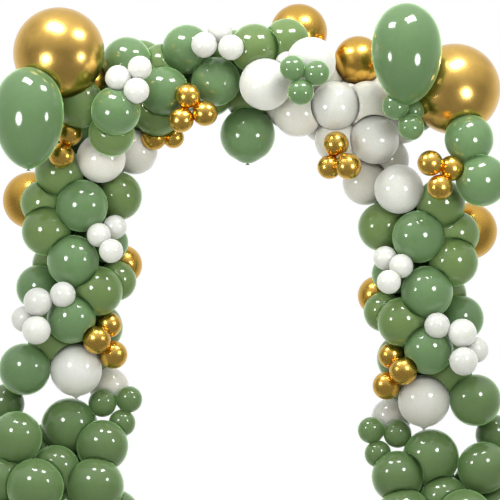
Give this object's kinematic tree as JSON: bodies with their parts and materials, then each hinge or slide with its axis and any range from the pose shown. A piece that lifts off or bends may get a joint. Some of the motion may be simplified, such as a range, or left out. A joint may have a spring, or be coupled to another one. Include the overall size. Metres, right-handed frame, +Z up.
{
  "type": "balloon garland",
  "caption": "Free-standing balloon arch of sage green, white and gold chrome latex balloons, for guests to walk through or pose in.",
  "frame": {"origin": "middle of the arch's bounding box, at floor level", "axes": "+Z up, +X to the right for someone who faces the arch's decorated front, +Y from the front to the back through the opening"},
  "size_m": [2.7084, 0.8482, 2.7042],
  "materials": {
    "green_latex": "sage green latex, glossy, slightly translucent",
    "white_latex": "white latex, glossy, slightly translucent",
    "gold_chrome_latex": "gold chrome latex, mirror-like"
  },
  "bodies": {
    "root": {"left_leg_green_cluster_1": "green_latex", "left_leg_green_cluster_2": "green_latex", "left_leg_green_cluster_3": "green_latex", "left_leg_green_cluster_4": "green_latex", "left_leg_green_cluster_5": "green_latex", "right_leg_green_cluster_1": "green_latex", "right_leg_green_cluster_2": "green_latex", "right_leg_green_cluster_3": "green_latex", "right_leg_green_cluster_4": "green_latex", "top_green_cluster_1": "green_latex", "top_green_cluster_2": "green_latex", "top_green_cluster_3": "green_latex", "top_green_cluster_4": "green_latex", "top_green_cluster_5": "green_latex", "left_green_small_trio_on_leg": "green_latex", "right_green_small_trio_on_leg": "green_latex", "green_small_trio_under_oval": "green_latex", "oval_green_balloon_left": "green_latex", "oval_green_balloon_right": "green_latex", "hanging_green_balloon": "green_latex", "green_small_trio_at_top": "green_latex", "left_leg_white_cluster_1": "white_latex", "left_leg_white_cluster_2": "white_latex", "left_leg_white_cluster_3": "white_latex", "left_leg_white_cluster_4": "white_latex", "right_leg_white_cluster_1": "white_latex", "right_leg_white_cluster_2": "white_latex", "right_leg_white_cluster_3": "white_latex", "right_leg_white_cluster_4": "white_latex", "top_white_cluster_1": "white_latex", "top_white_cluster_2": "white_latex", "top_white_cluster_3": "white_latex", "white_small_balloon_at_top": "white_latex", "white_small_trio_at_corner": "white_latex", "white_small_trio_at_top": "white_latex", "left_white_small_trio_on_leg": "white_latex", "left_white_small_cluster_on_leg": "white_latex", "right_white_small_trio_on_leg": "white_latex", "right_white_small_cluster_on_leg": "white_latex", "left_leg_gold_cluster_1": "gold_chrome_latex", "left_leg_gold_cluster_2": "gold_chrome_latex", "right_leg_gold_cluster_1": "gold_chrome_latex", "right_leg_gold_cluster_2": "gold_chrome_latex", "giant_gold_balloon_right": "gold_chrome_latex", "gold_balloon_behind_giant": "gold_chrome_latex", "gold_balloon_at_top": "gold_chrome_latex", "gold_small_pair_under_corner": "gold_chrome_latex", "gold_small_pair_at_left_shoulder": "gold_chrome_latex", "gold_balloon_beside_oval": "gold_chrome_latex", "giant_gold_balloon_left": "gold_chrome_latex", "gold_small_trio_at_right_shoulder": "gold_chrome_latex", "gold_small_trio_at_top": "gold_chrome_latex", "gold_small_trio_right_of_opening": "gold_chrome_latex", "left_gold_small_trio_on_leg": "gold_chrome_latex", "right_gold_small_trio_on_leg": "gold_chrome_latex"}
  },
  "joints": []
}
